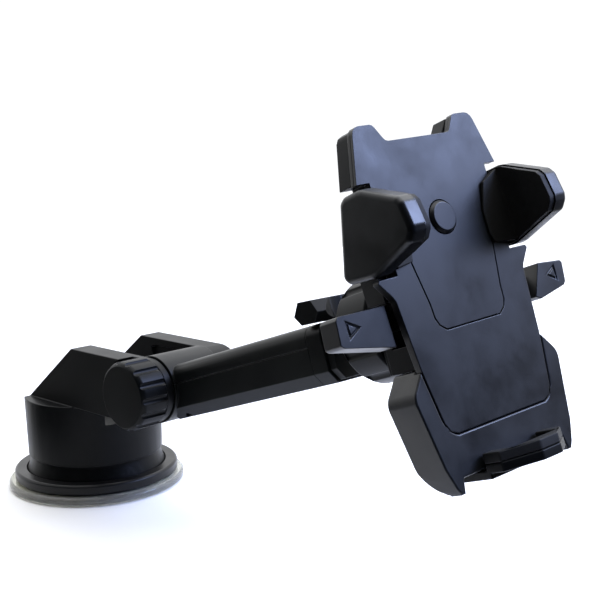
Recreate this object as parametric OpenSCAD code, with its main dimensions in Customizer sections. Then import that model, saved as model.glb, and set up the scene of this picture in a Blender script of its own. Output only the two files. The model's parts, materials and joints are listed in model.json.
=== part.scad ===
// Car phone mount: suction base, telescopic arm, ball joint and spring cradle.
// World frame: pad underside at z = 0, arm towards +X, hinge axes along Y.

/* [Suction base] */
// Radius of the sticky gel pad
pad_r = 43; // [41:0.5:46]
// Thickness of the gel pad
pad_h = 4; // [3:0.5:5]
// Radius of the suction cup's rim
rim_r = 40; // [38:0.5:40]
// Height of the rim's top above the dashboard
rim_top = 9.4; // [8.5:0.1:10]
// Radius of the housing's round wall at its underside
housing_r = 32.8; // [32:0.2:33.4]
// Height of the housing's underside
housing_z = 16; // [15:0.5:17]
// Height of the roof of the housing
roof_z = 73.6; // [72:0.2:76]
// Half width of the housing's flat sides
cheek_out = 26; // [25.5:0.1:27]
// Half width of the slot that the arm turns in
cheek_in = 14.5; // [14:0.1:15]

/* [Arm] */
// Distance of the arm's hinge in front of the cup's centre
pivot_x = 67.9; // [66:0.1:69]
// Height of the arm's hinge
pivot_z = 59.2; // [58.5:0.1:60]
// Angle of the arm above the horizontal at rest
arm_angle = 18.1; // [10:0.1:24]
// Half width of the outer arm
arm_w = 13; // [12.5:0.1:13.2]
// Length from the hinge to the end of the outer arm
arm_len = 99.5; // [98:0.5:104]
// Length of the clamping collar at the arm's end
collar_len = 8; // [8:0.5:9]
// Distance from the hinge to the ball's centre
ball_x = 131.3; // [130:0.1:133]
// Radius of the ball
ball_r = 9; // [8.5:0.1:9.2]
// Radius of the ring nut
nut_r = 20; // [19:0.5:21]

/* [Cradle] */
// Turn of the cradle about the vertical on its ball joint
head_pan = -7.5; // [-12:0.5:12]
// Tilt of the cradle's face above the horizontal
head_tilt = 19.3; // [8:0.1:30]
// Roll of the cradle about its face's normal
head_roll = 4.3; // [-8:0.1:8]
// Distance from the ball's centre to the cradle's front face
face_n = 42; // [41:0.5:43]
// Height of the trigger button above the ball
button_u = 30.5; // [29:0.5:32]
// Distance from the cradle's middle to a jaw's inner face when closed
jaw_in = 29; // [29:0.1:30]
// Thickness of a jaw from its pad to its outer face
jaw_t = 9; // [8.5:0.1:9]

/* [Hidden] */
$fn = 72;
gap = 0.3;                    // clearance between bodies that only pass each other
fit = 0.05;                   // radial clearance of a running fit
BLACK = [0.07, 0.08, 0.09];
DARK = [0.13, 0.14, 0.16];
RUBBER = [0.03, 0.03, 0.03];
STEEL = [0.7, 0.7, 0.72];

// base
deck_z = 36;                  // top of the deck that the lever's cams press on
cam_r = 4.7;                  // radius of the lever's eccentric cams
cam_off = [-1.155, -2];       // from the lever's pin to a cam's centre when closed
pin_z = deck_z + cam_r - cam_off[1] + gap;
stem_r = 3.5;
pin_r = 1.5;
hub_r = 15.2;
bolt_r = 3.5;
knob_r = 15.3;
knob_face = 32;
ear_in = cheek_in + 3.5;      // the near ear behind the knob

// arm section, measured from the line through the hinge
arm_top = 8.2;
arm_bot = -15.5;
wall = 2.4;

// cradle: local X is the face's normal (n), Y runs across (a), Z runs up the face (u)
cover_t = 3;
mid_back = -16;
gear_u = -13.5;
gear_m = 0.8;
jaw_teeth = 16;
tab_teeth = 10;
jaw_gear_r = gear_m * jaw_teeth / 2;
tab_gear_r = gear_m * tab_teeth / 2;
jaw_n = [-9, -6];             // the layer of the jaw racks
tab_n = [-13, -10];           // the layer of the tab racks
jaw_out = jaw_in + jaw_t;

module ring(r1, r2, h) {
    difference() {
        cylinder(r = r1, h = h);
        translate([0, 0, -1]) cylinder(r = r2, h = h + 2);
    }
}

// an XZ outline made solid between two values of y
module slab_y(y0, y1) {
    translate([0, y1, 0]) rotate([90, 0, 0]) linear_extrude(y1 - y0) children();
}

// a YZ outline made solid between two values of x
module slab_x(x0, x1) {
    translate([x0, 0, 0]) rotate([90, 0, 90]) linear_extrude(x1 - x0) children();
}

module box(lo, hi) {
    translate(lo) cube([hi[0] - lo[0], hi[1] - lo[1], hi[2] - lo[2]]);
}

module mirror_y() {
    children();
    mirror([0, 1, 0]) children();
}

module on_arm() {
    translate([pivot_x, 0, pivot_z]) rotate([0, -arm_angle, 0]) children();
}

module on_ball() {
    on_arm() translate([ball_x, 0, 0]) rotate([0, arm_angle, 0])
        rotate([head_roll, -head_tilt, head_pan]) children();
}

module on_face() {
    on_ball() translate([face_n, 0, button_u]) children();
}

// ---- base ----

module gel_pad() {
    color("Ivory", 0.4) rotate_extrude() {
        polygon([[0, 0], [pad_r - 0.8, 0], [pad_r, 0.8], [pad_r, pad_h - 1], [pad_r - 1, pad_h], [0, pad_h]]);
    }
}

module suction_cup() {
    color(RUBBER) difference() {
        rotate_extrude() polygon([
            [0, pad_h], [rim_r - 1, pad_h], [rim_r, pad_h + 1], [rim_r, rim_top - 1], [rim_r - 1, rim_top],
            [34.2, rim_top], [34.2, 7.5], [13, 7.5], [13, 14], [0, 14]]);
        // the pocket in the cup's boss that the stem's foot plate moves in
        translate([0, 0, 6]) cylinder(r = 10.3, h = 5.4);
        translate([0, 0, 6]) cylinder(r = stem_r + fit, h = 20);
    }
}

module cup_collar() {
    color(BLACK) rotate_extrude() polygon([
        [30, 7.5], [33.8, 7.5], [33.8, 9], [31.4, housing_z - 1.2], [31.4, housing_z], [28, housing_z],
        [28, 12], [30, 10.5]]);
}

// height of the sloping roof above a point x
function roof_at(x) = roof_z - (21.5 - x) * 0.745;

module cheek_outline() {
    polygon([[-19, housing_z], [-19, roof_at(-19)], [21.5, roof_z], [pivot_x, roof_z],
        [pivot_x, 45.4], [18, 45.4], [18, housing_z]]);
    translate([pivot_x, pivot_z]) circle(r = roof_z - pivot_z);
}

module base_housing() {
    inner_r = housing_r - 2.8;
    color(BLACK) difference() {
        union() {
            intersection() {
                translate([0, 0, housing_z]) cylinder(r1 = housing_r, r2 = housing_r + 1.2, h = 60);
                slab_y(-40, 40) polygon([[-40, 0], [-40, roof_at(-40)], [21.5, roof_z], [40, roof_z], [40, 0]]);
                union() {
                    box([-40, -40, 0], [40, 40, 45.4]);
                    box([-40, -cheek_out, 0], [40, cheek_out, 90]);
                }
            }
            slab_y(-cheek_out, cheek_out) cheek_outline();
        }
        translate([0, 0, housing_z - 1]) cylinder(r = inner_r, h = deck_z - 3 - housing_z + 1);
        // slot for the arm and the lever
        box([-60, -cheek_in, deck_z], [120, cheek_in, 100]);
        // stem hole
        translate([0, 0, 20]) cylinder(r = stem_r + fit, h = 30);
        // round notch for the knob in the near cheek
        translate([pivot_x, 0, pivot_z]) rotate([90, 0, 0]) translate([0, 0, ear_in]) cylinder(r = 17.2, h = 30);
        box([pivot_x, -60, 0], [120, -ear_in, 100]);
        // bolt hole through both cheeks and the bolt head's pocket
        translate([pivot_x, 60, pivot_z]) rotate([90, 0, 0]) cylinder(r = bolt_r + fit, h = 120);
        translate([pivot_x, 60, pivot_z]) rotate([90, 0, 0]) cylinder(r = 7, h = 60 - cheek_out + 4, $fn = 6);
        // shallow recess inside the far cheek
        slab_y(cheek_in - 1, cheek_in + 1.2) polygon([[30, 69], [34, 70], [60, 70], [50, 47], [36, 47]]);
    }
}

module pull_stem() {
    color(STEEL) difference() {
        union() {
            translate([0, 0, 8.4]) cylinder(r = 10, h = 2.6);
            translate([0, 0, 10]) cylinder(r = stem_r, h = pin_z + 4 - 10);
        }
        translate([0, 20, pin_z]) rotate([90, 0, 0]) cylinder(r = pin_r + 0.02, h = 40);
    }
}

module stem_spring() {
    turns = 4;
    lo = 14.7;
    hi = deck_z - 3.7;
    color(STEEL) for (i = [0 : turns]) {
        translate([0, 0, lo + i * (hi - lo) / turns]) rotate_extrude() translate([6, 0]) circle(r = 0.7);
    }
}

module lever_pin() {
    color(STEEL) translate([0, 9.5, pin_z]) rotate([90, 0, 0]) cylinder(r = pin_r, h = 19);
}

module suction_lever() {
    color(BLACK) difference() {
        union() {
            mirror_y() slab_y(4.2, 9) translate([cam_off[0], pin_z + cam_off[1]]) circle(r = cam_r);
            slab_y(-9, 9) polygon([[-4.4, pin_z - 3.2], [-3.6, pin_z + 1.6], [-21, 41.4], [-34, 36.8], [-33.5, 36.6],
                [-22, 37.6]]);
            slab_y(-9, 9) polygon([[-31, 37.2], [-34, 36.8], [-35.5, 34.5], [-35.5, 31], [-33.5, 31], [-33, 36]]);
        }
        box([-6.2, -4.2, 0], [20, 4.2, 60]);
        translate([0, 20, pin_z]) rotate([90, 0, 0]) cylinder(r = pin_r + fit, h = 40);
    }
}

module pivot_bolt() {
    color(STEEL) union() {
        translate([pivot_x, cheek_out - 0.2, pivot_z]) rotate([90, 0, 0]) cylinder(r = 6.6, h = 3.6, $fn = 6);
        translate([pivot_x, cheek_out - 2, pivot_z]) rotate([90, 0, 0]) cylinder(r = bolt_r, h = cheek_out + 27);
    }
}

module at_knob() {
    translate([pivot_x, -ear_in - gap, pivot_z]) rotate([90, 0, 0]) children();
}

module pivot_knob() {
    flutes = 14;
    depth = knob_face - ear_in - gap;
    color(BLACK) at_knob() difference() {
        rotate_extrude() polygon([[0, 0], [knob_r - 0.6, 0], [knob_r, 0.6], [knob_r, depth - 2.2],
            [knob_r - 0.7, depth - 0.8], [knob_r - 1.7, depth], [0, depth]]);
        for (i = [0 : flutes - 1]) rotate([0, 0, i * 360 / flutes]) translate([knob_r + 0.6, 0, -1]) {
            cylinder(r = 1.7, h = depth + 2);
        }
        translate([0, 0, -1]) cylinder(r = 6, h = 9);
        translate([0, 0, 7]) cylinder(r = bolt_r + 0.5, h = 4.5);
    }
}

module knob_insert() {
    color("Goldenrod") at_knob() ring(6, bolt_r + fit, 7.9);
}

// ---- arm ----

module arm_section(inset) {
    w = arm_w;
    t = arm_top;
    b = arm_bot;
    offset(delta = -inset) polygon([[-w, t - 4.4], [-w + 0.8, t - 2.3], [-w + 2.4, t - 0.7], [-w + 4.8, t],
        [w - 4.8, t], [w - 2.4, t - 0.7], [w - 0.8, t - 2.3], [w, t - 4.4], [w, b + 5], [w - 4, b],
        [-w + 4, b], [-w, b + 5]]);
}

module arm_body() {
    difference() {
        union() {
            slab_x(6, arm_len) arm_section(0);
            translate([0, cheek_in - gap, 0]) rotate([90, 0, 0]) cylinder(r = hub_r, h = 2 * (cheek_in - gap));
        }
        slab_x(24, arm_len + 1) arm_section(wall);
        translate([0, 30, 0]) rotate([90, 0, 0]) cylinder(r = 6, h = 60);
    }
}

module screw_posts(d) {
    for (x = [19, 14]) translate([x, (x - 16.5) * 3.2, -16]) cylinder(r = d, h = 20);
}

module arm_upper_shell() {
    color(BLACK) on_arm() difference() {
        arm_body();
        box([-40, -40, -40], [200, 40, 0.1]);
        screw_posts(1.3);
    }
}

module arm_lower_shell() {
    color(BLACK) on_arm() difference() {
        arm_body();
        box([-40, -40, -0.1], [200, 40, 40]);
        translate([0, 0, -0.1]) screw_posts(1.3);
        translate([0, 0, -12]) screw_posts(2.5);
    }
}

module arm_screws() {
    color(STEEL) on_arm() for (x = [19, 14]) translate([x, (x - 16.5) * 3.2, 0]) {
        translate([0, 0, -8]) cylinder(r = 1.3, h = 11.5);
        translate([0, 0, -10]) cylinder(r = 2.4, h = 2);
    }
}

module pivot_bush() {
    color("Silver") on_arm() translate([0, cheek_in - gap, 0]) rotate([90, 0, 0]) {
        ring(6, bolt_r + fit, 2 * (cheek_in - gap));
    }
}

module arm_collar() {
    color(BLACK) on_arm() difference() {
        slab_x(arm_len, arm_len + collar_len) arm_section(0);
        slab_x(arm_len - 1, arm_len + 20) arm_section(wall);
        translate([arm_len + collar_len / 2 + 0.4, 0, 0]) cylinder(r = 2.5 + fit, h = 30);
    }
}

module at_wing() {
    on_arm() translate([arm_len + collar_len / 2 + 0.4, 0, arm_top + gap]) children();
}

module wing_knob() {
    h = 9.2;
    half = 6.6;
    color(BLACK) at_wing() difference() {
        slab_y(-14, 12) polygon([[-half, h * 0.45], [-half * 0.55, 0.3], [half * 0.55, 0], [half, h * 0.4],
            [half * 0.6, h * 0.95], [-half * 0.45, h]]);
        translate([0, 0, -1]) cylinder(r = 2.52, h = 6);
        // finger scoops on both long sides
        for (s = [-1, 1]) translate([s * (half + 13.6), 0, -1]) cylinder(r = 16.5, h = h + 2);
    }
}

module clamp_screw() {
    color(STEEL) at_wing() translate([0, 0, -2.6]) cylinder(r = 2.5, h = 7.5);
}

module inner_arm() {
    color(DARK) on_arm() difference() {
        slab_x(34, arm_len + collar_len + 0.4) arm_section(wall + gap);
        slab_x(33, arm_len - 2) arm_section(wall + gap + 2);
    }
}

module ball_stud() {
    neck = arm_len + collar_len + 0.4;
    color(DARK) on_arm() union() {
        slab_x(neck, neck + 3.5) arm_section(1);
        translate([neck + 3, 0, 0]) rotate([0, 90, 0]) cylinder(r = 4.6, h = ball_x - neck - 3);
        translate([ball_x, 0, 0]) sphere(r = ball_r);
    }
}

// ---- ball joint, in the cradle's own directions about the ball's centre ----

// a spherical shell between two distances along the cradle's normal
module shell_zone(r1, r2, n0, n1) {
    intersection() {
        difference() {
            sphere(r = r1);
            sphere(r = r2);
        }
        translate([n0, 0, 0]) rotate([0, 90, 0]) cylinder(r = 30, h = n1 - n0);
    }
}

module ball_seat() {
    color("WhiteSmoke") on_ball() shell_zone(9.7, ball_r + fit, -5, 20);
}

module friction_liner() {
    color(RUBBER) on_ball() shell_zone(10.4, 9.7 + fit, -5, 20);
}

module ring_nut() {
    grips = 10;
    color(BLACK) on_ball() difference() {
        rotate([0, 90, 0]) rotate_extrude() polygon([[10.6, -13], [12.2, -13], [nut_r - 1, -8], [nut_r, -6.6],
            [nut_r, 9.5], [nut_r - 1, 10.5], [15.5 + fit, 10.5], [15.5 + fit, -6], [10.6, -9.5]]);
        for (i = [0 : grips - 1]) rotate([i * 360 / grips, 0, 0]) translate([-7, 0, nut_r + 1.4]) {
            rotate([0, 90, 0]) cylinder(r = 2.6, h = 30);
        }
    }
}

module ball_socket() {
    seat = 10.45;
    color(BLACK) on_ball() difference() {
        union() {
            rotate([0, 90, 0]) translate([0, 0, -5.5]) cylinder(r = 15.5, h = 22);
            translate([11.2, 0, 0]) slab_x(0, face_n + mid_back - 11.2) square([33, 34], center = true);
        }
        sphere(r = seat);
        rotate([0, 90, 0]) translate([0, 0, -9]) cylinder(r = seat, h = 9);
        for (y = [-12.5, 12.5], z = [-13, 13]) translate([0, y, z]) rotate([0, 90, 0]) {
            cylinder(r = 1.5, h = 60);
            translate([0, 0, 10]) cylinder(r = 2.8, h = 5);
        }
        // hollow behind the seat
        rotate([0, 90, 0]) translate([0, 0, 12]) cylinder(r = 9, h = 30);
    }
}

module socket_screws() {
    color(STEEL) on_ball() for (y = [-12.5, 12.5], z = [-13, 13]) translate([0, y, z]) rotate([0, 90, 0]) {
        translate([0, 0, 15]) cylinder(r = 1.5, h = face_n + mid_back - 15 + 2);
        translate([0, 0, 12.6]) cylinder(r = 2.6, h = 2.4);
    }
}

// ---- cradle ----

// an outline across and up the face from the points of its right half
module both_sides(half) {
    polygon(concat(half, [for (i = [len(half) - 1 : -1 : 0]) [-half[i][0], half[i][1]]]));
}

module cover_outline() {
    both_sides([[14, 29], [15.2, 29.3], [16, 30.1], [18.6, 34.2], [19.4, 35], [20.5, 35.3],
        [25.6, 35.3], [27.2, 34.9], [28.4, 33.9], [29.1, 32.4],
        [33.7, 15.8], [jaw_in - 1, 15.8], [jaw_in - 1, -15.9], [36.2, -15.9], [37, -17],
        [32.6, -22.4], [31.8, -24], [29.9, -47.1], [26.8, -66], [25, -69.2], [22, -70.5]]);
}

module lower_outline() {
    both_sides([[29.6, -47.3], [36.4, -55.5], [32.2, -80], [29.6, -87.4], [28.2, -89.6],
        [26.4, -89.6], [25.3, -84.6]]);
}

module upper_back_outline() {
    both_sides([[14, 28.6], [18.6, 34.5], [25.4, 34.9], [27.5, 34], [28.7, 32.2], [33.4, 16.1],
        [jaw_in - 1.2, 16.1], [jaw_in - 1.2, -24], [28.6, -47]]);
}

module panel_outline() {
    both_sides([[14, 29], [15.2, 29.3], [16, 30.1], [18.6, 34.2], [19.4, 35], [20.5, 35.3],
        [25.6, 35.3], [27.2, 34.9], [28.4, 33.9], [29.1, 32.4],
        [33.7, 15.8], [jaw_in - 1, 15.8], [jaw_in - 1, -8], [20.6, -8], [20, -12.7], [18.8, -19.4],
        [17.3, -27.5], [17, -32.5], [15.8, -35], [13.2, -36.9]]);
}

module plate_n(n0, n1) {
    slab_x(n0, n1) children();
}

module front_cover() {
    color(DARK) on_face() difference() {
        plate_n(-cover_t, 0) cover_outline();
        plate_n(-1.2, 1) offset(delta = 0.35) panel_outline();
        translate([-10, 0, 0]) rotate([0, 90, 0]) cylinder(r = 6.2, h = 20);
    }
}

module center_panel() {
    color(DARK) on_face() difference() {
        plate_n(-1.2, 0) panel_outline();
        translate([-10, 0, 0]) rotate([0, 90, 0]) cylinder(r = 6.2, h = 20);
    }
}

module back_shell() {
    color(BLACK) on_face() difference() {
        union() {
            plate_n(-9.5, -cover_t) upper_back_outline();
            plate_n(mid_back, -cover_t) intersection() {
                upper_back_outline();
                translate([-50, -60]) square([100, 72]);
            }
        }
        // hollow for the racks and gears
        box([mid_back + 2.4, -26.4, -42], [-cover_t + 1, 26.4, 9]);
        box([-7.4, -22, 8], [-cover_t + 1, 22, 25]);
        // ports for the jaws' bars and the tabs' tongues
        box([jaw_n[0] - gap, -50, gear_u - 10.2], [jaw_n[1] + gap, 50, gear_u + 10.2]);
        box([tab_n[0] - gap, -50, -33.8], [tab_n[1] + gap, 50, -25.2]);
        for (s = [-1, 1]) translate([0, s * 37.5, 0]) box([-12.3, -12.5, -38.6], [-2, 12.5, -23.6]);
        // axle seat
        translate([-20, 0, gear_u]) rotate([0, 90, 0]) cylinder(r = 2.02, h = 10);
        for (y = [-12.5, 12.5], z = [-13, 13]) translate([-20, y, z - button_u]) rotate([0, 90, 0]) {
            cylinder(r = 1.5, h = 8);
        }
    }
}

module lower_shell() {
    color(DARK) on_face() difference() {
        union() {
            plate_n(-14.5, -cover_t) lower_outline();
            plate_n(-cover_t, 0) difference() {
                lower_outline();
                offset(delta = 0.35) cover_outline();
            }
        }
        // track for the foot's slider
        box([-12, -12.4, -90], [-8.4, 12.4, -49.8]);
        // rounded bottom edge at the back
        translate([-2.5, 0, -77.5]) difference() {
            box([-20, -60, -20], [-3, 60, 0]);
            rotate([90, 0, 0]) translate([0, 0, -60]) cylinder(r = 12, h = 120);
        }
        box([-20, -17.6, -90], [4, 17.6, -84.6]);
    }
}

module cradle_screws() {
    color(STEEL) on_face() for (y = [-20, 20], z = [-60, -70]) translate([-14.5, y, z]) rotate([0, 90, 0]) {
        translate([0, 0, -1.6]) cylinder(r = 2.4, h = 1.6);
    }
}

// one rack tooth standing up from z = 0, centred at y = 0
module tooth_shape() {
    m = gear_m;
    polygon([[-1.1 * m, -1.25 * m - 0.4], [-1.1 * m, -1.25 * m], [-0.36 * m, 0.9 * m], [0.36 * m, 0.9 * m],
        [1.1 * m, -1.25 * m], [1.1 * m, -1.25 * m - 0.4]]);
}

// a row of rack teeth in the plane across and up the face, pitch line at v, teeth towards up (1 or -1)
module rack_row(y0, count, v, up) {
    p = PI * gear_m;
    for (i = [0 : count - 1]) translate([y0 + i * p, v]) scale([1, up]) tooth_shape();
}

module gear_shape(teeth, phase) {
    m = gear_m;
    r = m * teeth / 2;
    union() {
        circle(r = r - 1.2 * m);
        for (i = [0 : teeth - 1]) rotate(phase + i * 360 / teeth) polygon([
            [r - 1.6 * m, -1.0 * m], [r - 0.9 * m, -0.88 * m], [r, -0.62 * m], [r + 0.85 * m, -0.28 * m],
            [r + 0.85 * m, 0.28 * m], [r, 0.62 * m], [r - 0.9 * m, 0.88 * m], [r - 1.6 * m, 1.0 * m]]);
    }
}

module pinion() {
    color("WhiteSmoke") on_face() difference() {
        union() {
            translate([0, 0, gear_u]) plate_n(jaw_n[0], jaw_n[1]) gear_shape(jaw_teeth, 90);
            translate([0, 0, gear_u]) plate_n(tab_n[0] + 0.2, jaw_n[0]) gear_shape(tab_teeth, 90);
        }
        translate([-20, 0, gear_u]) rotate([0, 90, 0]) cylinder(r = 2 + fit, h = 30);
    }
}

module pinion_axle() {
    color(STEEL) on_face() translate([mid_back + 0.6, 0, gear_u]) rotate([0, 90, 0]) {
        cylinder(r = 2, h = -mid_back - 0.6 - cover_t - 0.02);
    }
}

module return_spring() {
    color(STEEL) on_face() for (r = [3.2, 4.6]) translate([-5.6, 0, gear_u]) rotate([0, 90, 0]) {
        ring(r + 0.5, r, 2.2);
    }
}

// the jaw's side view: forward is X, up is Y
module jaw_outline() {
    polygon([[-15.5, -11.6], [-13.4, -14.2], [-1, -15], [1.6, -14.6], [20.4, -8.6], [22.6, -5.8], [23.2, -3.6],
        [21.8, 4.4], [20, 6.6], [5.2, 13.2], [3, 13.6], [-4, 13.4], [-6.4, 12]]);
}

module jaw(side) {
    rack_v = gear_u + side * jaw_gear_r;
    near = gear_u + jaw_gear_r;
    far = gear_u - jaw_gear_r;
    back = gear_m * 1.25 + 2.2;
    union() {
        slab_y(jaw_in + 2.6, jaw_out) jaw_outline();
        // neck below the jaw
        box([-14, jaw_in + 0.2, far - back], [jaw_n[1] + 1, jaw_out - 0.8, -12]);
        // upper and lower bars: one carries the rack, the other only guides
        box([jaw_n[0], (side > 0) ? -15 : 20, near + gear_m * 1.25], [jaw_n[1], jaw_in + 3, near + back]);
        box([jaw_n[0], (side > 0) ? 20 : -15, far - back], [jaw_n[1], jaw_in + 3, far - gear_m * 1.25]);
        plate_n(jaw_n[0], jaw_n[1]) rack_row(-5.5 * PI * gear_m, 7, rack_v, -side);
    }
}

module jaw_left() {
    color(DARK) on_face() mirror([0, 1, 0]) jaw(1);
}

module jaw_right() {
    color(DARK) on_face() jaw(-1);
}

module jaw_pad() {
    difference() {
        union() {
            difference() {
                slab_y(jaw_in, jaw_in + 2.6) offset(delta = -0.5) jaw_outline();
                // shallow hollow that takes the phone's edge
                translate([6, jaw_in - 24.6, -20]) cylinder(r = 25.4, h = 40);
            }
            // lip under the phone's edge, thin towards the middle
            intersection() {
                plate_n(0, 4) polygon([[jaw_in + 2.6, 12.4], [jaw_in, 12.4], [22.8, 9], [19.5, -0.5], [19.3, -9],
                    [20.3, -12.6], [jaw_in, -13.6], [jaw_in + 2.6, -13.6]]);
                translate([0, 0, -20]) linear_extrude(40) polygon([[0.35, 19.3], [0.9, 19.3], [3, jaw_in],
                    [3, jaw_in + 2.6], [0.35, jaw_in + 2.6]]);
            }
        }
        // room for the jaw's neck and its two bars
        box([jaw_n[0] - gap, 0, gear_u + jaw_gear_r + 0.6], [jaw_n[1] + gap, 60, gear_u + jaw_gear_r + 3.6]);
        box([-20, 0, -30], [jaw_n[1] + 1.4, 60, -11.6]);
    }
}

module jaw_pad_left() {
    color(RUBBER) on_face() mirror([0, 1, 0]) jaw_pad();
}

module jaw_pad_right() {
    color(RUBBER) on_face() jaw_pad();
}

module tab(side) {
    rack_v = gear_u + side * tab_gear_r;
    root = rack_v + side * gear_m * 1.25;
    bar = root + side * 2.2;
    union() {
        difference() {
            slab_x(-12, -3.35) polygon((side > 0) ?
                [[43.8, -23.4], [56, -24.4], [57, -25.4], [55.8, -32.6], [54.4, -33.8], [40, -36.4], [37.6, -35.2]] :
                [[34, -24], [54.4, -23.6], [55.4, -24.6], [56.2, -32.8], [55, -33.8], [41, -36.6], [34, -38]]);
            // engraved arrow that points inwards
            slab_x(-3.9, -1) difference() {
                polygon([[51.8, -25.5], [51.8, -31.5], [46.4, -28.5]]);
                polygon([[51.1, -26.6], [51.1, -30.4], [47.7, -28.5]]);
            }
        }
        box([tab_n[0], 20, -33], [tab_n[1], 42, -26]);
        box([tab_n[0], 20, -33], [tab_n[1], 25.6, max(root, bar)]);
        box([tab_n[0], -2.4, min(root, bar)], [tab_n[1], 25.6, max(root, bar)]);
        plate_n(tab_n[0], tab_n[1]) rack_row(-0.5 * PI * gear_m, 6, rack_v, -side);
    }
}

module tab_left() {
    color(DARK) on_face() mirror([0, 1, 0]) tab(-1);
}

module tab_right() {
    color(DARK) on_face() tab(1);
}

module trigger_button() {
    color(DARK) on_face() union() {
        translate([-3.3, 0, 0]) rotate([0, 90, 0]) rotate_extrude() polygon([[0, 0], [5.9, 0], [5.9, 3.4],
            [5, 4.6], [0, 4.6]]);
        translate([-4.1, 0, 0]) rotate([0, 90, 0]) cylinder(r = 7.4, h = 0.9);
        translate([-8.6, 0, 0]) rotate([0, 90, 0]) cylinder(r = 1.6, h = 5);
    }
}

module trigger_spring() {
    color(STEEL) on_face() for (i = [0 : 3]) translate([-8.3 + i * 1.15, 0, 0]) rotate([0, 90, 0]) {
        rotate_extrude() translate([2.4, 0]) circle(r = 0.3);
    }
}

module latch_rocker() {
    color(STEEL) on_face() difference() {
        union() {
            box([-10.6, -3, -3.2], [-9.3, 3, 8.4]);
            translate([-10.6, -3, 6.4]) rotate([-90, 0, 0]) cylinder(r = 1.6, h = 6);
        }
        translate([-10.6, -5, 6.4]) rotate([-90, 0, 0]) cylinder(r = 0.8 + fit, h = 10);
    }
}

module rocker_pin() {
    color(STEEL) on_face() translate([-10.6, -26.4, 6.4]) rotate([-90, 0, 0]) cylinder(r = 0.8, h = 52.8);
}

module foot_slider() {
    color(BLACK) on_face() union() {
        box([-11.7, -12, -88.2], [-8.7, 12, -51]);
        box([-11.7, -16, -88.2], [1, 16, -85.2]);
        slab_z_hook(-86.3, -83);
        box([0.9, -16, -88.2], [2.6, 16, -83]);
    }
}

// the plan of the foot's hook, from one height to another
module slab_z_hook(z0, z1) {
    translate([0, 0, z0]) linear_extrude(z1 - z0) {
        polygon([[0.9, -16], [8.4, -16], [16.8, -4.5], [16.8, 4.5], [8.4, 16], [0.9, 16]]);
    }
}

module foot_pad() {
    color(RUBBER) on_face() difference() {
        slab_z_hook(-83, -79.4);
        box([-1, -11, -81.2], [11, 11, -70]);
    }
}

gel_pad();
suction_cup();
cup_collar();
base_housing();
pull_stem();
stem_spring();
suction_lever();
lever_pin();
pivot_bolt();
pivot_knob();
knob_insert();
arm_upper_shell();
arm_lower_shell();
arm_collar();
arm_screws();
pivot_bush();
wing_knob();
clamp_screw();
inner_arm();
ball_stud();
ball_seat();
friction_liner();
ring_nut();
ball_socket();
socket_screws();
back_shell();
lower_shell();
front_cover();
center_panel();
cradle_screws();
pinion();
pinion_axle();
return_spring();
jaw_left();
jaw_right();
jaw_pad_left();
jaw_pad_right();
tab_left();
tab_right();
trigger_button();
trigger_spring();
latch_rocker();
rocker_pin();
foot_slider();
foot_pad();
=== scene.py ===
import json
import math

import bmesh
import bpy
from mathutils import Matrix, Vector


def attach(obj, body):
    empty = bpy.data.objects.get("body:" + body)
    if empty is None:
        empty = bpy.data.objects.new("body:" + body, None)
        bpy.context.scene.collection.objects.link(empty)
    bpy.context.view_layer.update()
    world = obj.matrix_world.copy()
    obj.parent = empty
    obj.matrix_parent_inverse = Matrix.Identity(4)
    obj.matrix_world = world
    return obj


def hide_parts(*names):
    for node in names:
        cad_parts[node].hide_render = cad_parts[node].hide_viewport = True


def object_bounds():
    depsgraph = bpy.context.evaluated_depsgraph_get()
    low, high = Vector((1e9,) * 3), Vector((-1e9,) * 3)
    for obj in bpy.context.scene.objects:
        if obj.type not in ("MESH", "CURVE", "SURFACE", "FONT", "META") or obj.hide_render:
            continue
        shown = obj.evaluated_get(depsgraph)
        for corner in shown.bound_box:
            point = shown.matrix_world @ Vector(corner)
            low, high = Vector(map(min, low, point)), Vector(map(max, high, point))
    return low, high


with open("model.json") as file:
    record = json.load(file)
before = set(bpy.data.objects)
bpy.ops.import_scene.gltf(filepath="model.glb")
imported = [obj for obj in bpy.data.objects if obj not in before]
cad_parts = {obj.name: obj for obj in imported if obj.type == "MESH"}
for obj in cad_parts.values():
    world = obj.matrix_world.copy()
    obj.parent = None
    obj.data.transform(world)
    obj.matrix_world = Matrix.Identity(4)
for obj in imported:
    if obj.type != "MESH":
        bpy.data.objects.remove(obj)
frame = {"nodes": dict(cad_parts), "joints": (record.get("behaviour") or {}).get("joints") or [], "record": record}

CAD_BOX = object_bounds()
MM = 0.001
SMOOTH_UNDER = 35        # degrees: edges that turn by more than this stay sharp
BEVEL_OVER = 30          # degrees: edges that turn by more than this get a radius
ROOM = 0.9               # share of a neighbouring edge that a bevel may use up
NOISE_LOW = 0.3          # noise mostly lies between this
NOISE_HIGH = 0.7         # and this


# ---------------------------------------------------------------- camera

# place in millimetres; yaw, pitch and roll in radians; lens and sensor in millimetres
CAMERA_PLACE = (455.2, -311.6, 178.5)
CAMERA_TURNS = (2.352, -0.165, -0.024)
CAMERA_LENS = 67.2
CAMERA_SENSOR = 36


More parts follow.
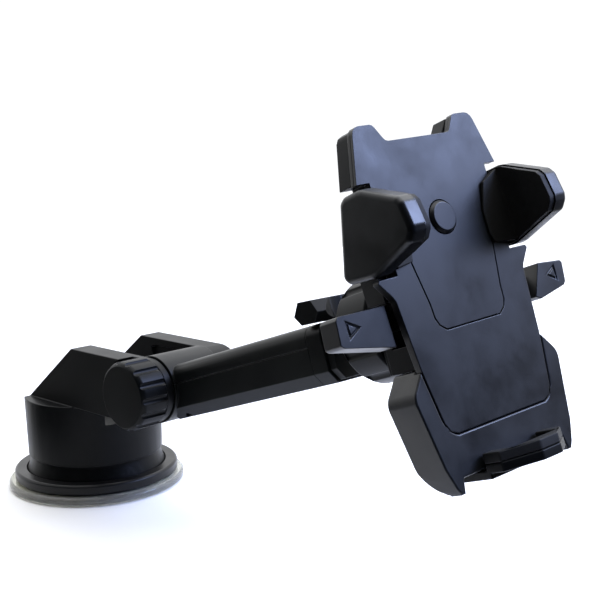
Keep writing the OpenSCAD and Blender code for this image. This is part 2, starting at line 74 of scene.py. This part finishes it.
def make_camera():
    """The main view: from the front left of the cradle, a little above it."""
    place = Vector(CAMERA_PLACE) * MM
    yaw, pitch, roll = CAMERA_TURNS
    forward = Vector((math.cos(yaw) * math.cos(pitch), math.sin(yaw) * math.cos(pitch), math.sin(pitch)))
    right = Vector((math.sin(yaw), -math.cos(yaw), 0))
    up = right.cross(forward)
    right, up = (
        right * math.cos(roll) + up * math.sin(roll),
        up * math.cos(roll) - right * math.sin(roll),
    )
    data = bpy.data.cameras.new("camera")
    data.sensor_width = CAMERA_SENSOR
    data.lens = CAMERA_LENS
    data.clip_start = 0.01
    camera = bpy.data.objects.new("camera", data)
    bpy.context.scene.collection.objects.link(camera)
    rotation = Matrix((right, up, -forward)).transposed()
    camera.matrix_world = Matrix.Translation(place) @ rotation.to_4x4()
    bpy.context.scene.camera = camera
    return forward


LOOKING = make_camera()
bpy.context.scene.view_settings.view_transform = "Standard"


# ---------------------------------------------------------------- frames of reference

JOINTS = {j["name"]: j for j in frame["joints"]}


def axes_matrix(x, y, z, origin):
    """The matrix of a local frame, from its three axes and its origin."""
    matrix = Matrix((x, y, z)).transposed().to_4x4()
    matrix.translation = origin
    return matrix


def joint_axis(name):
    """The direction of a joint's axis."""
    return Vector(JOINTS[name]["axis"]).normalized()


BALL = Vector(JOINTS["cradle_spin"]["pos_m"])
FACE_N = joint_axis("cradle_spin")
FACE_A = joint_axis("jaw_right_open")
FACE_U = -joint_axis("foot_slide")
# millimetres from the ball's centre to the trigger button's, along the face's normal and up the face
BUTTON_AHEAD = 42
BUTTON_ABOVE = 30.5
BUTTON = BALL + FACE_N * BUTTON_AHEAD * MM + FACE_U * BUTTON_ABOVE * MM
# X is the cradle face's normal, Y runs across it and Z up it, from the trigger button's centre
FACE = axes_matrix(FACE_N, FACE_A, FACE_U, BUTTON)


# ---------------------------------------------------------------- materials

def new_material(name):
    """A material with its node tree and its Principled shader."""
    material = bpy.data.materials.new(name)
    material.use_nodes = True
    tree = material.node_tree
    return material, tree, tree.nodes["Principled BSDF"]


def noise(tree, scale, detail=3.0, roughness=0.5):
    """Noise in the object's own coordinates."""
    coords = tree.nodes.new("ShaderNodeTexCoord")
    node = tree.nodes.new("ShaderNodeTexNoise")
    node.inputs["Scale"].default_value = scale
    node.inputs["Detail"].default_value = detail
    node.inputs["Roughness"].default_value = roughness
    tree.links.new(coords.outputs["Object"], node.inputs["Vector"])
    return node.outputs["Fac"]


def ramp(tree, value, low, high):
    """Turns noise into a colour between two others."""
    node = tree.nodes.new("ShaderNodeValToRGB")
    node.color_ramp.elements[0].position = NOISE_LOW
    node.color_ramp.elements[1].position = NOISE_HIGH
    node.color_ramp.elements[0].color = (*low, 1)
    node.color_ramp.elements[1].color = (*high, 1)
    tree.links.new(value, node.inputs["Fac"])
    return node.outputs["Color"]


def remap(tree, value, low, high):
    """Turns noise into a number between two others."""
    node = tree.nodes.new("ShaderNodeMapRange")
    node.inputs["From Min"].default_value = NOISE_LOW
    node.inputs["From Max"].default_value = NOISE_HIGH
    node.inputs["To Min"].default_value = low
    node.inputs["To Max"].default_value = high
    tree.links.new(value, node.inputs["Value"])
    return node.outputs["Result"]


def bump(tree, shader, layers):
    """Adds height layers of (value, strength, distance in metres) to a shader's normal."""
    last = None
    for value, strength, distance in layers:
        node = tree.nodes.new("ShaderNodeBump")
        node.inputs["Strength"].default_value = strength
        node.inputs["Distance"].default_value = distance
        tree.links.new(value, node.inputs["Height"])
        if last is not None:
            tree.links.new(last, node.inputs["Normal"])
        last = node.outputs["Normal"]
    tree.links.new(last, shader.inputs["Normal"])


def mixed(tree, kind, factor, first, second):
    """Blends two values or colours; each is a socket or a plain value."""
    node = tree.nodes.new("ShaderNodeMix")
    node.data_type = kind
    low, high, out = {"FLOAT": (2, 3, 0), "RGBA": (6, 7, 2)}[kind]
    for place, value in ((0, factor), (low, first), (high, second)):
        if isinstance(value, bpy.types.NodeSocket):
            tree.links.new(value, node.inputs[place])
        else:
            node.inputs[place].default_value = value
    return node.outputs[out]


def worn(tree, strength):
    """How far an edge has been rubbed: the faces marked as edges, broken up by noise."""
    mark = tree.nodes.new("ShaderNodeAttribute")
    mark.attribute_name = "edge"
    node = tree.nodes.new("ShaderNodeMath")
    node.operation = "MULTIPLY"
    tree.links.new(mark.outputs["Fac"], node.inputs[0])
    tree.links.new(remap(tree, noise(tree, 240, 4, 0.7), strength * 0.25, strength), node.inputs[1])
    return node.outputs["Value"]


def moulded(name, dark, light, rough, grain=0.12, specular=0.5):
    """Moulded plastic: fine spark-eroded grain, soft mottling, slow ripples and rubbed edges."""
    material, tree, shader = new_material(name)
    cloud = noise(tree, 55, 4, 0.6)
    fine = noise(tree, 2600, 2, 0.5)
    ripple = noise(tree, 28, 2, 0.4)
    rub = worn(tree, 0.5)
    rubbed = tuple(min(1, 2.6 * c + 0.006) for c in light) + (1,)
    colour = mixed(tree, "RGBA", rub, ramp(tree, cloud, dark, light), rubbed)
    tree.links.new(colour, shader.inputs["Base Color"])
    gloss = mixed(tree, "FLOAT", rub, remap(tree, cloud, rough[0], rough[1]), rough[0] * 0.75)
    tree.links.new(gloss, shader.inputs["Roughness"])
    shader.inputs["Specular IOR Level"].default_value = specular
    bump(tree, shader, [(fine, grain, 0.0001), (ripple, 0.05, 0.0006)])
    return material


def rubbery(name, dark, light):
    """Rubber: matte, with a fine stipple and soft mottling."""
    material, tree, shader = new_material(name)
    cloud = noise(tree, 90, 5, 0.65)
    stipple = noise(tree, 1500, 2, 0.6)
    tree.links.new(ramp(tree, cloud, dark, light), shader.inputs["Base Color"])
    tree.links.new(remap(tree, cloud, 0.6, 0.75), shader.inputs["Roughness"])
    shader.inputs["Specular IOR Level"].default_value = 0.35
    bump(tree, shader, [(stipple, 0.25, 0.0002)])
    return material


def metallic(name, dark, light):
    """Plated or turned metal with fine streaks."""
    material, tree, shader = new_material(name)
    streak = noise(tree, 900, 4, 0.7)
    tree.links.new(ramp(tree, streak, dark, light), shader.inputs["Base Color"])
    tree.links.new(remap(tree, streak, 0.25, 0.4), shader.inputs["Roughness"])
    shader.inputs["Metallic"].default_value = 1.0
    bump(tree, shader, [(streak, 0.08, 0.0001)])
    return material


def gel(name):
    """Clear polyurethane gel: soft, faintly yellow, with a slightly uneven surface."""
    material, tree, shader = new_material(name)
    cloud = noise(tree, 60, 3, 0.5)
    tree.links.new(ramp(tree, cloud, (0.86, 0.86, 0.74), (0.95, 0.95, 0.9)), shader.inputs["Base Color"])
    tree.links.new(remap(tree, cloud, 0.08, 0.2), shader.inputs["Roughness"])
    shader.inputs["Transmission Weight"].default_value = 0.85
    shader.inputs["IOR"].default_value = 1.46
    bump(tree, shader, [(cloud, 0.08, 0.0005)])
    return material


# the darkest and the lightest tone of two plastics
BLACK = ((0.002, 0.0025, 0.003), (0.004, 0.0045, 0.005))
CHARCOAL = ((0.003, 0.0035, 0.005), (0.008, 0.009, 0.011))
MATERIALS = {
    "gel": gel("gel_clear"),
    "cup": moulded("tpu_black", (0.003, 0.003, 0.003), (0.005, 0.005, 0.006), (0.3, 0.4), 0.04, 0.22),
    "base_shell": moulded("abs_base", *BLACK, (0.36, 0.44), 0.1, 0.12),
    "arm_shell": moulded("abs_arm", (0.003, 0.0035, 0.004), (0.005, 0.006, 0.006), (0.34, 0.42), 0.1, 0.16),
    "knob": moulded("abs_knob", *BLACK, (0.36, 0.44), 0.1, 0.12),
    "cradle_shell": moulded("abs_cradle", *CHARCOAL, (0.31, 0.5), 0.14, 0.4),
    "cradle_back": moulded("abs_back", *BLACK, (0.4, 0.5), 0.12, 0.14),
    "soft_rubber": rubbery("rubber_black", (0.005, 0.005, 0.005), (0.009, 0.009, 0.009)),
    "white_nylon": moulded("acetal", (0.72, 0.72, 0.69), (0.8, 0.8, 0.78), (0.35, 0.45)),
    "steel": metallic("steel_zinc", (0.5, 0.5, 0.52), (0.66, 0.66, 0.68)),
    "brass": metallic("brass_turned", (0.6, 0.44, 0.18), (0.72, 0.55, 0.26)),
}
SLOT = {subpart["node"]: subpart["material_slot"] for subpart in frame["record"]["subparts"]}
BODIES = frame["record"]["behaviour"]["bodies"]
BODY = {node: body for body, members in BODIES.items() for node in members}


def paint(piece, slot):
    """Gives a piece its slot's material."""
    piece.data.materials.clear()
    piece.data.materials.append(MATERIALS[slot])


for node_name, node_object in frame["nodes"].items():
    paint(node_object, SLOT[node_name])


# ---------------------------------------------------------------- mesh helpers

def corner_normals(bm, sharp):
    """Normals weighted by area, so that flat faces stay flat and only their rims look round."""
    corners = {}
    for vert in bm.verts:
        waiting = set(vert.link_faces)
        while waiting:
            group, reached = [], [waiting.pop()]
            while reached:
                face = reached.pop()
                group.append(face)
                soft = [e for e in face.edges if vert in e.verts and len(e.link_faces) == 2]
                for edge in soft:
                    if edge.calc_face_angle(0) > sharp:
                        continue
                    for other in edge.link_faces:
                        if other in waiting:
                            waiting.remove(other)
                            reached.append(other)
            total = Vector((0, 0, 0))
            for face in group:
                total += face.normal * face.calc_area()
            for face in group:
                corners[(face.index, vert.index)] = total.normalized()
    return [corners[(f.index, v.index)] for f in bm.faces for v in f.verts]


def finish_piece(name, bm, node):
    """Turns a bmesh into a piece that rides on its node's body and stands for the node."""
    bmesh.ops.recalc_face_normals(bm, faces=bm.faces)
    bm.normal_update()
    bm.verts.index_update()
    bm.faces.index_update()
    sharp = math.radians(SMOOTH_UNDER)
    normals = corner_normals(bm, sharp)
    mesh = bpy.data.meshes.new(name)
    bm.to_mesh(mesh)
    bm.free()
    mesh.shade_smooth()
    mesh.set_sharp_from_angle(angle=sharp)
    mesh.normals_split_custom_set(normals)
    piece = bpy.data.objects.new(name, mesh)
    bpy.context.scene.collection.objects.link(piece)
    paint(piece, SLOT[node])
    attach(piece, BODY[node])
    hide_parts(node)


def cad_mesh(node):
    """The CAD node's mesh, welded, with its flat faces joined up."""
    bm = bmesh.new()
    bm.from_mesh(frame["nodes"][node].data)
    bmesh.ops.remove_doubles(bm, verts=bm.verts, dist=2e-6)
    bmesh.ops.dissolve_limit(
        bm, angle_limit=math.radians(0.8), verts=bm.verts, edges=bm.edges, use_dissolve_boundaries=False
    )
    bm.faces.layers.float.new("edge")
    return bm


def room_beside(edge):
    """The widest bevel that an edge can take before it meets a neighbouring corner."""
    widest = 1.0
    for vert in edge.verts:
        for other in vert.link_edges:
            if other is not edge and not other.tag:
                widest = min(widest, ROOM * other.calc_length())
    for face in edge.link_faces:
        for loop in face.loops:
            if loop.edge is not edge:
                continue
            turn = 0.0
            for here, there in ((loop, loop.link_loop_prev), (loop.link_loop_next, loop.link_loop_next)):
                if there.edge.tag:
                    before = here.vert.co - here.link_loop_prev.vert.co
                    after = here.link_loop_next.vert.co - here.vert.co
                    bend = before.angle(after, 0)
                    if here.is_convex:
                        turn += math.tan(min(bend, 2.6) / 2)
            if turn > 1e-3:
                widest = min(widest, ROOM * edge.calc_length() / turn)
    return widest


def round_edges(bm, width, angle=BEVEL_OVER, segments=3, keep=None, mark=1.0):
    """Bevels the sharp edges that have room for it, and marks how worn the new faces are."""
    width *= MM
    sharp = math.radians(angle)
    for edge in bm.edges:
        edge.tag = (
            len(edge.link_faces) == 2
            and edge.calc_face_angle(0) > sharp
            and (keep is None or keep(edge))
        )
    # an edge left out can narrow its neighbours' room, so look again a few times
    for _ in range(6):
        tight = [e for e in bm.edges if e.tag and room_beside(e) < width * 0.55]
        if not tight:
            break
        for edge in tight:
            edge.tag = False
    chosen = [e for e in bm.edges if e.tag]
    if not chosen:
        return
    width = min([width] + [room_beside(e) for e in chosen])
    made = bmesh.ops.bevel(
        bm, geom=chosen, offset=width, offset_type="OFFSET", segments=segments, profile=0.5,
        affect="EDGES", clamp_overlap=False, loop_slide=True,
    )
    layer = bm.faces.layers.float["edge"]
    for face in made["faces"]:
        face[layer] = mark


def refine(node, width):
    """The CAD node's own shape with the small moulded radius that its edges have."""
    bm = cad_mesh(node)
    round_edges(bm, width)
    finish_piece(node + "_moulded", bm, node)


# the cradle's outside, in millimetres in the cradle face's frame
FRAME_SIDE = 22.5
CORNER_SIDE = 24.5
FRAME_TOP = 20
FRAME_FOOT = -39


def on_face(edge):
    """An edge's middle in the cradle face's frame, in millimetres, and its direction there."""
    back = FACE.inverted()
    start, end = (back @ v.co / MM for v in edge.verts)
    return (start + end) / 2, (end - start).normalized()


def across_plate(edge):
    """True for the edges that stand up through the thickness of the cradle's plates."""
    middle, way = on_face(edge)
    return abs(way.x) > 0.99 and (abs(middle.y) > CORNER_SIDE or middle.z > FRAME_TOP)


def outer_rim(edge):
    """True for the rims at the cradle's outside, false for those along the panel's groove."""
    middle, _ = on_face(edge)
    return abs(middle.y) > FRAME_SIDE or middle.z > FRAME_TOP or middle.z < FRAME_FOOT


def refine_plate(node, corner, rim):
    """A cradle plate: rounded corners in plan and a soft outer rim."""
    bm = cad_mesh(node)
    round_edges(bm, corner, angle=20, segments=5, keep=across_plate, mark=0.0)
    round_edges(bm, rim, segments=4, keep=outer_rim)
    finish_piece(node + "_moulded", bm, node)


def face_outline(node, place, axis, sign):
    """The outline of a node's largest flat face across one axis of a local frame, in millimetres."""
    bm = cad_mesh(node)
    bmesh.ops.transform(bm, matrix=place.inverted(), verts=bm.verts)
    bm.normal_update()
    flat = [f for f in bm.faces if f.normal[axis] * sign > 0.999]
    face = max(flat, key=lambda f: f.calc_area())
    points = [v.co.copy() / MM for v in face.verts]
    bm.free()
    keep = [k for k in range(3) if k != axis]
    outline = [Vector((q[keep[0]], q[keep[1]])) for q in points]
    if area_of(outline) < 0:
        outline.reverse()
    return outline, points[0][axis]


def area_of(points):
    """The signed area inside a closed outline, positive when it runs anticlockwise."""
    return 0.5 * sum(p.x * q.y - q.x * p.y for p, q in zip(points, points[1:] + points[:1]))


def fillet(points, radius, steps=6, least=8):
    """Rounds the corners of a closed outline, as far as its sides leave room."""
    out = []
    count = len(points)
    for i, here in enumerate(points):
        back = points[i - 1] - here
        ahead = points[(i + 1) % count] - here
        turn = math.pi - back.angle(ahead)
        if turn < math.radians(least):
            out.append(here)
            continue
        reach = min(radius * math.tan(turn / 2), 0.46 * back.length, 0.46 * ahead.length)
        start, end = here + back.normalized() * reach, here + ahead.normalized() * reach
        for k in range(steps + 1):
            t = k / steps
            out.append(start * (1 - t) ** 2 + here * 2 * t * (1 - t) + end * t * t)
    return out


def inset(points, depth):
    """Moves a closed outline, drawn anticlockwise, inwards by a depth."""
    out = []
    count = len(points)
    for i, here in enumerate(points):
        before = (here - points[i - 1]).normalized()
        after = (points[(i + 1) % count] - here).normalized()
        middle = (before + after).normalized()
        cosine = max(middle.dot(after), 0.3)
        out.append(here + Vector((-middle.y, middle.x)) * depth / cosine)
    return out


def skin(bm, rings):
    """Joins rings of points with faces, and closes the first and the last."""
    loops = [[bm.verts.new(p) for p in ring] for ring in rings]
    for lower, upper in zip(loops, loops[1:]):
        for i in range(len(lower)):
            j = (i + 1) % len(lower)
            bm.faces.new((lower[i], lower[j], upper[j], upper[i]))
    bm.faces.new(list(reversed(loops[0])))
    bm.faces.new(loops[-1])


def rounded_profile(low, high, low_radius, high_radius, steps=5):
    """Steps of (inset, height) for a slab whose two rims are rounded."""
    border = 0.25        # a ring inside each flat face, which keeps its shading flat
    profile = [(low_radius + border, low)]
    for k in range(steps + 1):
        t = math.pi / 2 * k / steps
        profile.append((low_radius * (1 - math.sin(t)), low + low_radius * (1 - math.cos(t))))
    for k in range(steps + 1):
        t = math.pi / 2 * k / steps
        profile.append((high_radius * (1 - math.cos(t)), high - high_radius * (1 - math.sin(t))))
    profile.append((high_radius + border, high))
    return profile


def slab(bm, place, axis, outline, profile):
    """Adds a plate with rounded rims: an outline stepped along one axis of a local frame."""
    rings = []
    keep = [k for k in range(3) if k != axis]
    for depth, height in profile:
        ring = []
        for point in inset(outline, depth):
            local = Vector((0, 0, 0))
            local[keep[0]], local[keep[1]], local[axis] = point.x, point.y, height
            ring.append(place @ (local * MM))
        rings.append(ring)
    skin(bm, rings)


def cut_away(bm, place, axis, level, sign):
    """Removes what lies beyond a level of one axis of a local frame, and closes the cut."""
    normal = place.to_3x3().col[axis] * sign
    origin = place @ (Vector([level * MM if k == axis else 0 for k in range(3)]))
    geometry = bm.verts[:] + bm.edges[:] + bm.faces[:]
    cut = bmesh.ops.bisect_plane(bm, geom=geometry, plane_co=origin, plane_no=normal, clear_outer=True)
    edges = [e for e in cut["geom_cut"] if isinstance(e, bmesh.types.BMEdge)]
    bmesh.ops.holes_fill(bm, edges=edges, sides=0)


# ---------------------------------------------------------------- pieces

# a jaw's plate in millimetres: thickness, corner radius, rim radii, and how far the bars reach in
JAW_PLATE = 6.4
JAW_CORNER = 3.0
JAW_INNER_RIM = 0.5
JAW_OUTER_RIM = 1.9
JAW_OVERLAP = 0.4


def build_jaw(side):
    """A jaw's plate with wide rims, and the bars and racks behind it as they are."""
    node = "jaw_" + side
    outward = 1 if side == "right" else -1
    outline, level = face_outline(node, FACE, 1, outward)
    outer = abs(level)
    bm = bmesh.new()
    bm.faces.layers.float.new("edge")
    profile = rounded_profile(outer - JAW_PLATE, outer, JAW_INNER_RIM, JAW_OUTER_RIM)
    profile = [(depth, height * outward) for depth, height in profile]
    slab(bm, FACE, 1, fillet(outline, JAW_CORNER), profile)
    finish_piece(node + "_plate", bm, node)
    bars = cad_mesh(node)
    cut_away(bars, FACE, 1, outward * (outer - JAW_PLATE + JAW_OVERLAP), outward)
    finish_piece(node + "_bars", bars, node)


# radius of each piece's edges, in millimetres
ROUNDED = {
    "base_housing": 0.9, "cup_collar": 0.25, "suction_cup": 0.4, "gel_pad": 0.3, "suction_lever": 0.6,
    "pivot_knob": 0.35, "arm_upper_shell": 0.3, "arm_lower_shell": 0.3, "arm_collar": 0.3, "wing_knob": 0.5,
    "ball_stud": 0.4, "ring_nut": 0.5, "ball_socket": 0.8,
    "jaw_pad_left": 0.5, "jaw_pad_right": 0.5, "tab_left": 0.5, "tab_right": 0.5, "trigger_button": 0.25,
    "foot_slider": 0.5, "foot_pad": 0.6,
}
for node_name, width in ROUNDED.items():
    refine(node_name, width)
build_jaw("left")
build_jaw("right")
refine("center_panel", 0.14)
refine("front_cover", 0.35)
refine_plate("lower_shell", corner=2.4, rim=1.2)
refine("back_shell", 0.5)


# ---------------------------------------------------------------- stage and light

def make_floor():
    """A sheet of white paper, cut to the camera's wedge so that it throws less light on the near sides."""
    # metres ahead of the camera, and half the sheet's width there
    near, near_half = 0.3, 0.12
    far, far_half = 1.5, 0.5
    camera = bpy.context.scene.camera.location
    ahead = Vector((LOOKING.x, LOOKING.y, 0)).normalized()
    aside = Vector((ahead.y, -ahead.x, 0))
    level = CAD_BOX[0][2] - 0.0002
    mesh = bpy.data.meshes.new("floor")
    bm = bmesh.new()
    corners = []
    for along, across in ((near, -near_half), (near, near_half), (far, far_half), (far, -far_half)):
        spot = camera + ahead * along + aside * across
        corners.append(bm.verts.new((spot.x, spot.y, level)))
    bm.faces.new(corners)
    bm.normal_update()
    if bm.faces[:][0].normal.z < 0:
        bmesh.ops.reverse_faces(bm, faces=bm.faces)
    bm.to_mesh(mesh)
    bm.free()
    floor = bpy.data.objects.new("floor", mesh)
    bpy.context.scene.collection.objects.link(floor)
    material, tree, shader = new_material("paper_white")
    tone = ramp(tree, noise(tree, 3, 2), (0.93, 0.93, 0.935), (0.95, 0.95, 0.955))
    tree.links.new(tone, shader.inputs["Base Color"])
    shader.inputs["Roughness"].default_value = 0.9
    mesh.materials.append(material)


def softbox(name, place, target, size, power, colour):
    """A rectangular lamp that faces a target."""
    data = bpy.data.lights.new(name, "AREA")
    data.shape = "RECTANGLE"
    data.size, data.size_y = size
    data.energy = power
    data.color = colour
    lamp = bpy.data.objects.new(name, data)
    bpy.context.scene.collection.objects.link(lamp)
    lamp.location = place
    lamp.rotation_euler = (target - place).to_track_quat("-Z", "Y").to_euler()


def make_light():
    """A plain white backdrop, light from above and behind the mount, and a weak one from its front right."""
    world = bpy.data.worlds.new("studio")
    bpy.context.scene.world = world
    world.use_nodes = True
    tree = world.node_tree
    background = tree.nodes["Background"]
    background.inputs["Color"].default_value = (0.97, 0.98, 1.0, 1)
    # bright behind and above the mount, dim on the side that faces the viewer
    coords = tree.nodes.new("ShaderNodeTexCoord")
    facing = tree.nodes.new("ShaderNodeVectorMath")
    facing.operation = "DOT_PRODUCT"
    facing.inputs[1].default_value = Vector((LOOKING.x, LOOKING.y, 0.75)).normalized()
    tree.links.new(coords.outputs["Generated"], facing.inputs[0])
    spread = tree.nodes.new("ShaderNodeMapRange")
    spread.interpolation_type = "SMOOTHSTEP"
    spread.inputs["From Min"].default_value = 0.0
    spread.inputs["From Max"].default_value = 0.5
    spread.inputs["To Min"].default_value = 0.02
    spread.inputs["To Max"].default_value = 1.45
    tree.links.new(facing.outputs["Value"], spread.inputs["Value"])
    # the backdrop itself is plain white
    rays = tree.nodes.new("ShaderNodeLightPath")
    strength = mixed(tree, "FLOAT", rays.outputs["Is Camera Ray"], spread.outputs["Result"], 1.1)
    tree.links.new(strength, background.inputs["Strength"])
    centre = FACE.translation
    softbox("top", centre + Vector((-0.4, 0.45, 1.3)), centre, (2, 2), 25, (0.97, 0.98, 1))
    softbox("front_right", centre + Vector((0.62, 0.55, 0.64)), centre, (0.6, 0.45), 17, (0.46, 0.58, 1))


make_floor()
make_light()
